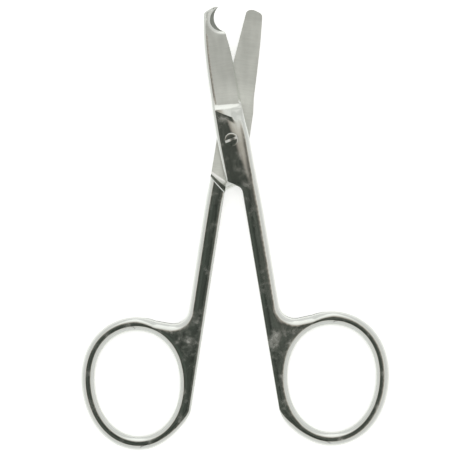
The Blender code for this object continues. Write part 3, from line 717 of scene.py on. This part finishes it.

# Where each finish lies. The lap's satin stops at SATIN_END, a line told by a point and its direction.
# NOTCH_X, NOTCH_Y and RIM_X bound the hook's hollow and its rim. The painted highlight starts
# HIGHLIGHT_FROM of the way down the shoulder's hollow, and sooner further out. A flat face's normal has a z
# of FLAT or more.
POLISHED, SATIN, GROUND_AND_SHADE, PAINTED_HIGHLIGHT = range(4)
SATIN_END = ((2.07, -4.73), math.atan2(-2.26, 1.29))
NOTCH_Y = 20.0
NOTCH_X = -0.4
RIM_X = -0.9
HIGHLIGHT_FROM = 0.62
HIGHLIGHT_LEAN = 0.075
FLAT = 0.9962
CREASE_ANGLE = math.radians(24)


def finish(half, spine, strip, hollow=None):
    """Satin on the flat of the blade and the lap, wheel-ground hollows darkened with painted shade, a
    painted highlight at the foot of the shoulder's hollow, and polish elsewhere.

    The satin stops a strip short of the blade's rounded spine and fades round the hook's hollow, given by
    its centre and radius: past_border is the distance beyond that line.
    """
    half.data.materials.clear()
    for material in (polished, satin, shaded_ground_steel, painted_highlight_steel):
        half.data.materials.append(material)
    bm = bmesh.new()
    bm.from_mesh(half.data)
    bmesh.ops.remove_doubles(bm, verts=bm.verts, dist=0.0005)
    lap = [f for f in bm.faces if f.normal.z < -0.999 and abs(f.calc_center_median().z - LAP_FACE) < 0.01]
    score(bm, *SATIN_END, lap)
    border = bm.loops.layers.float.new("past_border")
    line = sorted((y, x + edge + strip) for x, y, edge in spine)
    crest = (SHANK_INNER, CREST_Y)
    for face in bm.faces:
        face.smooth = True
        for loop in face.loops:
            x, y, z = loop.vert.co
            past = x - float(np.interp(y, *zip(*line))) + max(0.0, y - 21.2) * 0.5
            if hollow and y > 19.0:
                past = min(past, 0.35 * (math.dist((x, y), hollow[0]) - hollow[1] - 0.45))
            loop[border] = past if z > LAP_FACE + 0.1 and y > 0 else 1.0
        x, y, z = face.calc_center_median()
        slant, up = face.normal.x, face.normal.z
        lap = up < -FLAT and abs(z - LAP_FACE) < 0.02
        bare = x > SHANK_INNER and beyond_line(x, y, *SATIN_END) < 0
        blade = up > 0 and beyond_line(x, y, (SEAM_X, BLADE_ROOT_Y), ROOT_ANGLE) > -0.03 and z < 2.95
        notch = y > NOTCH_Y and x > NOTCH_X and 0.15 < up < 0.86 and slant > 0
        rim = hollow and math.dist((x, y), hollow[0]) < hollow[1] + 1.0 and up > 0.87 and x > RIM_X
        along_crest = beyond_line(x, y, crest, SHOULDER_ANGLE - math.pi / 2)
        length = RAMP_LENGTH * (1 - RAMP_NARROWS * along_crest)
        share = beyond_line(x, y, crest, SHOULDER_ANGLE) / length
        ramp = 0.0 < share < 1.0 and x > SHANK_INNER + 0.01 and -0.999 < up < -0.1
        # Painted highlight on the lower part of the shoulder's hollow. Its upper part and the hook's hollow
        # take the ground steel, darkened as painted shade.
        if ramp and share > HIGHLIGHT_FROM - HIGHLIGHT_LEAN * along_crest:
            face.material_index = PAINTED_HIGHLIGHT
        elif notch or ramp:
            face.material_index = GROUND_AND_SHADE
        elif lap and not bare or blade and (up > FLAT or rim):
            face.material_index = SATIN
        else:
            face.material_index = POLISHED
    bm.to_mesh(half.data)
    bm.free()
    half.data.set_sharp_from_angle(angle=CREASE_ANGLE)
    for line in half.data.edges:
        ends = [half.data.vertices[i].co for i in line.vertices]
        on_facet_line = all(abs(beyond_line(e.x, e.y, FACET_START, FACET_ANGLE)) < 0.006 for e in ends)
        if on_facet_line and all(e.z > 2.8 and e.x < 1.3 for e in ends):
            line.use_edge_sharp = True


def keep_places(mesh):
    """Notes where each point was drawn, so that the finishes run along the handle however it is turned."""
    drawn = mesh.attributes.new("drawn_place", "FLOAT_VECTOR", "POINT")
    drawn.data.foreach_set("vector", [value for vertex in mesh.vertices for value in vertex.co])


def mounted(half, turned_over, body, node):
    """Turns a finished half to its place in the open scissors, and hands it to its body."""
    if turned_over:
        centre = Matrix.Translation((SEAM_X, 0.0, MIDDLE))
        half.data.transform(centre @ Matrix.Rotation(math.pi, 4, "Y") @ centre.inverted())
    half.data.transform(Matrix.Scale(MM, 4))
    keep_places(half.data)
    half.data.transform(Matrix.Rotation(-HALF_OPENING if turned_over else HALF_OPENING, 4, "Z"))
    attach(half, body)
    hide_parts(node)


def spine_line(points):
    """The blade's rounded back, from the tip down to the boss, with its edge radius growing."""
    rounded = [(x, y, between(SPINE_EDGE, BOSS_EDGE, (24.6 - y) / 15.6)) for x, y in points]
    return flowing(rounded, OUTLINE_STEP)


# A ring is its distance from the screw, its hole's half length and half width, and its lean.
PLAIN_RING = (51.20, 10.51, 8.48, math.radians(13.1))
PLAIN_HEEL = (9.6, 1.6, 4.5, 0.6)
PLAIN_BOSS_END = -10.22
PLAIN_SATIN_STRIP = 0.10
TAIL_BORE = 0.85

edge = flowing([(3.09, 6.5, 0.0), (3.09, 9.0, 0.0), (3.06, 11.3, 0.0), (1.74, 25.1, 0.0)], BLADE_STEP)
tip = flowing([(x, y, TIP_EDGE) for x, y in (
    (1.66, 25.70), (1.38, 26.08), (1.05, 26.27), (0.60, 26.38), (0.1, 26.35), (-0.42, 26.22),
    (-1.04, 26.00), (-1.47, 25.70), (-1.66, 25.25))], TIP_STEP)
spine = spine_line([
    (-1.72, 24.6), (-1.86, 23.0), (-2.05, 20.4), (-2.21, 17.0), (-2.36, 13.0), (-2.47, 9.0)])
plain = forge("plain_forging", edge + tip + spine, PLAIN_RING, PLAIN_HEEL, PLAIN_BOSS_END, False,
              [bevel_crease(9.0)])
tools = cut_lap(plain)
tools.append(drum("bore", (2 * SEAM_X, 0.0, BELOW), TAIL_BORE, (2 * SEAM_X, 0.0, ABOVE), TAIL_BORE, 96))
boolean(plain, tools[-1])
settle(plain)
for tool in tools:
    bpy.data.objects.remove(tool, do_unlink=True)
finish(plain, spine, PLAIN_SATIN_STRIP)
mounted(plain, True, "plain_side", "plain_half")

# The hooked half: the same forging in the upper layer, with a blade that ends in a hook. The hollow that
# lifts the stitch is ground with a small round wheel held at a lean, and its rim is broken and polished.
HOOKED_RING = (50.55, 10.67, 8.80, math.radians(10.4))
HOOKED_HEEL = (9.2, 1.5, 4.6, 2.05)
HOOKED_BOSS_END = -9.96
HOOKED_SATIN_STRIP = 0.30
HOOK_EDGE = 0.22
NOSE_EDGE = 0.3
SHOULDER_BORE = 1.00
COUNTERBORE = 1.39
COUNTERBORE_FLOOR = 2.16

# The hollow's circle on the blade's face, and the one at the middle, further out because the wheel leans.
HOLLOW = (2.22, 24.12)
HOLLOW_RADIUS = 2.47
HOLLOW_BASE = (3.54, 24.25)
HOLLOW_BASE_RADIUS = 2.93
RIM_WIDTH = 0.75
RIM_FALL = 0.30
RIM_WEAR = 0.17
NOSE_Y = 23.4
NOSE_FALL = 0.045

edge = flowing([(x, y, 0.0) for x, y in (
    (3.07, 6.5), (3.05, 8.3), (3.03, 11.0), (2.91, 15.1), (2.73, 18.2), (2.37, 21.6),
    (2.45, 24.0))], BLADE_STEP)
hook = flowing([(x, y, HOOK_EDGE) for x, y in (
    (2.25, 26.2), (1.78, 26.66), (1.35, 26.80), (0.92, 26.82), (0.50, 26.76), (0.20, 26.66))], TIP_STEP)
nose = flowing([(x, y, NOSE_EDGE) for x, y in (
    (-0.58, 26.36), (-1.06, 26.06), (-1.28, 25.78), (-1.38, 25.3))], TIP_STEP)
spine = spine_line([
    (-1.62, 24.0), (-1.95, 21.8), (-2.24, 19.2), (-2.46, 16.0), (-2.60, 12.5), (-2.68, 9.0)])


def notch_wear(x, y):
    """The hook's face falls away softly round its hollow and towards its nose."""
    out = math.dist((x, y), HOLLOW) - HOLLOW_RADIUS
    rim = RIM_FALL * min(0.95, max(0.0, RIM_WIDTH - out)) ** 2
    return rim + NOSE_FALL * max(0.0, y - NOSE_Y) ** 2 * smooth(1.6, 0.2, x) * smooth(0.2, 1.0, out)


creases = [bevel_crease(19.4)]
for step in (0.10, 0.24, 0.40, 0.58):
    creases.append(arc(HOLLOW, HOLLOW_RADIUS + step, 118 + 40 * step, 262, 40))
hooked = forge("hooked_forging", edge + hook + nose + spine, HOOKED_RING, HOOKED_HEEL, HOOKED_BOSS_END,
               True, creases, notch_wear)
tools = cut_lap(hooked)
height = blade_top(0.0, HOLLOW[1]) - RIM_WEAR - MIDDLE
ends = []
for z in (0.5, ABOVE):
    share = (z - MIDDLE) / height
    ends.append((*(between(a, b, share) for a, b in zip(HOLLOW_BASE, HOLLOW)), z))
    ends.append(between(HOLLOW_BASE_RADIUS, HOLLOW_RADIUS, share))
tools.append(drum("notch", *ends, 256))
tools.append(drum("bore", (0.0, 0.0, BELOW), SHOULDER_BORE, (0.0, 0.0, ABOVE), SHOULDER_BORE, 96))
tools.append(drum("counterbore", (0.0, 0.0, COUNTERBORE_FLOOR), COUNTERBORE, (0.0, 0.0, ABOVE), COUNTERBORE,
                  128))
for tool in tools[-3:]:
    boolean(hooked, tool)
settle(hooked)
for tool in tools:
    bpy.data.objects.remove(tool, do_unlink=True)
finish(hooked, spine, HOOKED_SATIN_STRIP, (HOLLOW, HOLLOW_RADIUS))
mounted(hooked, False, "hooked_side", "hooked_half")

# The pivot screw: turned from stainless bar, with a domed-edge slotted head that sits flush in its
# counterbore, and polished over together with the joint. Its round end shows on the underside.
HEAD_TOP = 2.97
HEAD_RADIUS = 1.33
HEAD_ROLL_OFF = 0.0027
HEAD_STEPS = 26
HEAD_UNDERSIDE = 2.22
SHOULDER_RADIUS = 0.95
TAIL_RADIUS = 0.80
TAIL_BEVEL = 0.12
SLOT_ANGLE = math.radians(21.6)
SAW_RADIUS = 4.5
SAW_ABOVE_HEAD = 4.26
SAW_HALF_WIDTH = 0.25

radii = [HEAD_RADIUS * i / HEAD_STEPS for i in range(HEAD_STEPS + 1)]
profile = [(r, HEAD_TOP - HEAD_ROLL_OFF * r ** 8) for r in radii]
profile += [(HEAD_RADIUS, HEAD_UNDERSIDE), (SHOULDER_RADIUS, HEAD_UNDERSIDE), (SHOULDER_RADIUS, MIDDLE),
            (TAIL_RADIUS, MIDDLE), (TAIL_RADIUS, TAIL_BEVEL), (TAIL_RADIUS - TAIL_BEVEL, 0.0), (0.0, 0.0)]
bm = bmesh.new()
points = [bm.verts.new((r, 0.0, z)) for r, z in profile]
edges = [bm.edges.new(pair) for pair in zip(points, points[1:])]
bmesh.ops.spin(bm, geom=points + edges, cent=(0, 0, 0), axis=(0, 0, 1), angle=math.tau, steps=128,
               use_merge=True)
bmesh.ops.remove_doubles(bm, verts=bm.verts, dist=0.0005)
bmesh.ops.recalc_face_normals(bm, faces=bm.faces)
screw = solid("slotted_screw", bm)
saw = drum("saw", (0.0, 0.0, -SAW_HALF_WIDTH), SAW_RADIUS, (0.0, 0.0, SAW_HALF_WIDTH), SAW_RADIUS, 320)
saw.data.transform(Matrix.Translation((0.0, 0.0, HEAD_TOP + SAW_ABOVE_HEAD))
                   @ Matrix.Rotation(SLOT_ANGLE, 4, "Z") @ Matrix.Rotation(math.pi / 2, 4, "X"))
boolean(screw, saw)
settle(screw)
bpy.data.objects.remove(saw, do_unlink=True)
screw.data.transform(Matrix.Scale(MM, 4))
keep_places(screw.data)
screw.data.shade_smooth()
screw.data.set_sharp_from_angle(angle=math.radians(28))

# Sawn stainless steel: the floor of the slot, brighter and a little softer than the polish round it, as
# the slitting saw left it.
sawn, tree, steel = new_material("sawn_stainless")
steel.inputs["Metallic"].default_value = 1.0
steel.inputs["Base Color"].default_value = hexed("#cfd0cb")
steel.inputs["Roughness"].default_value = 0.18
for material in (polished, sawn):
    screw.data.materials.append(material)
for face in screw.data.polygons:
    across = face.center.y * math.cos(SLOT_ANGLE) - face.center.x * math.sin(SLOT_ANGLE)
    face.material_index = int(face.center.z > 2.5 * MM and abs(across) < 0.2 * MM)
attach(screw, "plain_side")
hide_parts("pivot_screw")

# The table: a smooth white sweep that runs off to all sides, so that the scissors seem to lie on plain
# white, with only a faint shadow where they touch it.
TABLE_HALF_WIDTH = 3.0
TABLE_GAP = 0.0001  # metres, so that no face of the steel lies in the table's plane
TABLE_GLOW = 0.45
bm = bmesh.new()
bmesh.ops.create_grid(bm, x_segments=1, y_segments=1, size=TABLE_HALF_WIDTH)
table = solid("white_table", bm)
table.location.z = -TABLE_GAP

# Matt white card: it has almost no shine, and it glows a little to the eye and in the steel's reflections,
# so that it stays white round the shadow.
white, tree, paper = new_material("white_table_top")
paper.inputs["Base Color"].default_value = hexed("#f4f4f3")
paper.inputs["Roughness"].default_value = 0.9
paper.inputs["Specular IOR Level"].default_value = 0.1
ray = add(tree, "ShaderNodeLightPath").outputs
seen = add(tree, "ShaderNodeMath", {0: ray["Is Camera Ray"], 1: ray["Is Glossy Ray"]}, operation="MAXIMUM")
seen = add(tree, "ShaderNodeMath", {0: seen.outputs[0], 1: ray["Is Transmission Ray"]}, operation="MAXIMUM")
glow = add(tree, "ShaderNodeMath", {0: seen.outputs[0], 1: TABLE_GLOW}, operation="MULTIPLY")
paper.inputs["Emission Color"].default_value = (1.0, 1.0, 1.0, 1.0)
tree.links.new(glow.outputs[0], paper.inputs["Emission Strength"])
table.data.materials.append(white)

# The light: an even white tent, open at its top where the camera looks in, so that flat polished steel
# mirrors the dark opening and every rounded edge mirrors the bright cloth round it. A direction is told by
# its slopes from straight up: across to the right, and along the scissors to their tips.
OPENING = (-0.06, -0.09, 0.0)
TENT = [  # half the distance from the opening's middle, and the cloth's colour there
    (0.0, (0.080, 0.095, 0.081)), (0.078, (0.082, 0.087, 0.077)), (0.092, (0.22, 0.205, 0.185)),
    (0.11, (0.44, 0.405, 0.365)), (0.125, (0.58, 0.54, 0.485)), (0.14, (0.78, 0.745, 0.70)),
    (0.155, (1.02, 1.01, 0.99)), (0.19, (1.02, 1.02, 1.0)),
    (0.23, (0.80, 0.80, 0.785)), (0.50, (0.86, 0.86, 0.85)), (1.0, (0.95, 0.95, 0.95))]
LAMP_GAIN = 0.55
world = bpy.data.worlds.new("light_tent")
bpy.context.scene.world = world
world.use_nodes = True
tree = world.node_tree
background = tree.nodes["Background"]
sky = add(tree, "ShaderNodeTexCoord").outputs["Generated"]
way = add(tree, "ShaderNodeSeparateXYZ", {"Vector": sky})
up = add(tree, "ShaderNodeMath", {0: way.outputs["Z"], 1: 0.001}, operation="MAXIMUM")
across = add(tree, "ShaderNodeMath", {0: way.outputs["X"], 1: up.outputs[0]}, operation="DIVIDE")
along = add(tree, "ShaderNodeMath", {0: way.outputs["Y"], 1: up.outputs[0]}, operation="DIVIDE")
spread = add(tree, "ShaderNodeCombineXYZ", {"X": across.outputs[0], "Y": along.outputs[0]})
off = add(tree, "ShaderNodeVectorMath", {0: spread.outputs[0], 1: OPENING}, operation="DISTANCE")
half_off = add(tree, "ShaderNodeMath", {0: off.outputs["Value"], 1: 0.5}, operation="MULTIPLY")
cloth = add(tree, "ShaderNodeValToRGB", {"Fac": half_off.outputs[0]})
ramp = cloth.color_ramp.elements
for position, _ in TENT[1:-1]:
    ramp.new(position)
for element, (position, value) in zip(ramp, TENT):
    element.position = position
    element.color = (*value, 1.0)

# A thin dark rail divides the opening on the near side, and the cloth at its rim has uneven folds.
aside = add(tree, "ShaderNodeMath", {0: across.outputs[0]}, operation="ABSOLUTE")
rail = add(tree, "ShaderNodeMapRange", {
    "Value": aside.outputs[0], "From Min": 0.006, "From Max": 0.016, "To Min": 0.25, "To Max": 1.0},
    interpolation_type="SMOOTHSTEP")
down = add(tree, "ShaderNodeMapRange", {
    "Value": along.outputs[0], "From Min": -0.02, "From Max": 0.02}, interpolation_type="SMOOTHSTEP")
rail = add(tree, "ShaderNodeMath", {
    0: rail.outputs["Result"], 1: down.outputs["Result"]}, operation="MAXIMUM")
folds = add(tree, "ShaderNodeMapping", {"Vector": spread.outputs[0], "Scale": (1.0, 0.2, 1.0)})
folds = add(tree, "ShaderNodeTexNoise", {"Vector": folds.outputs["Vector"], "Scale": 40.0, "Detail": 2.0})
folds = add(tree, "ShaderNodeMapRange", {
    "Value": folds.outputs["Fac"], "From Min": 0.3, "From Max": 0.7, "To Min": 0.45, "To Max": 1.8})
taut = add(tree, "ShaderNodeMapRange", {"Value": off.outputs["Value"], "From Min": 0.14, "From Max": 0.20})
folds = add(tree, "ShaderNodeMix", {
    "Factor": taut.outputs["Result"], "A": folds.outputs["Result"], "B": 1.0})
rail = add(tree, "ShaderNodeMath", {0: rail.outputs[0], 1: folds.outputs["Result"]}, operation="MULTIPLY")

# A soft lamp behind the cloth, beyond the tips, brightens the part of it that the blades mirror.
lamp = add(tree, "ShaderNodeMapRange", {
    "Value": aside.outputs[0], "From Min": 0.45, "From Max": 0.15}, interpolation_type="SMOOTHSTEP")
low_end = add(tree, "ShaderNodeMapRange", {
    "Value": along.outputs[0], "From Min": 0.26, "From Max": 0.45}, interpolation_type="SMOOTHSTEP")
lamp = add(tree, "ShaderNodeMath", {
    0: lamp.outputs["Result"], 1: low_end.outputs["Result"]}, operation="MULTIPLY")
far_end = add(tree, "ShaderNodeMapRange", {
    "Value": along.outputs[0], "From Min": 3.0, "From Max": 1.8}, interpolation_type="SMOOTHSTEP")
lamp = add(tree, "ShaderNodeMath", {0: lamp.outputs[0], 1: far_end.outputs["Result"]}, operation="MULTIPLY")
lit = add(tree, "ShaderNodeMath", {
    0: lamp.outputs[0], 1: LAMP_GAIN, 2: rail.outputs[0]}, operation="MULTIPLY_ADD")
cloth = add(tree, "ShaderNodeMix", {
    "Factor": 1.0, "A": cloth.outputs["Color"], "B": lit.outputs[0]},
    data_type="RGBA", blend_type="MULTIPLY")
ray = add(tree, "ShaderNodeLightPath").outputs
tint = add(tree, "ShaderNodeMix", {
    "Factor": ray["Is Camera Ray"], "A": cloth.outputs["Result"], "B": (1.0, 1.0, 1.0, 1.0)},
    data_type="RGBA")
tree.links.new(tint.outputs["Result"], background.inputs["Color"])

# The camera stands well above the scissors, looking straight down, and is turned a touch. The photograph's
# frame is VIEW_WIDTH across at the upper face of the steel.
CAMERA_HEIGHT = 600.0
VIEW_WIDTH = 91.6
VIEW_CENTRE = Vector((-0.5, -17.9))
ROLL = math.radians(0.4)
camera = bpy.data.objects.new("camera", bpy.data.cameras.new("camera"))
bpy.context.scene.collection.objects.link(camera)
camera.location = ((VIEW_CENTRE.x * math.cos(ROLL) + VIEW_CENTRE.y * math.sin(ROLL)) * MM,
                   (-VIEW_CENTRE.x * math.sin(ROLL) + VIEW_CENTRE.y * math.cos(ROLL)) * MM,
                   CAMERA_HEIGHT * MM)
camera.rotation_euler = (0.0, 0.0, -ROLL)
camera.data.sensor_width = 36.0
camera.data.lens = camera.data.sensor_width * (CAMERA_HEIGHT - THICKNESS) / VIEW_WIDTH
bpy.context.scene.camera = camera
bpy.context.scene.view_settings.view_transform = "Standard"
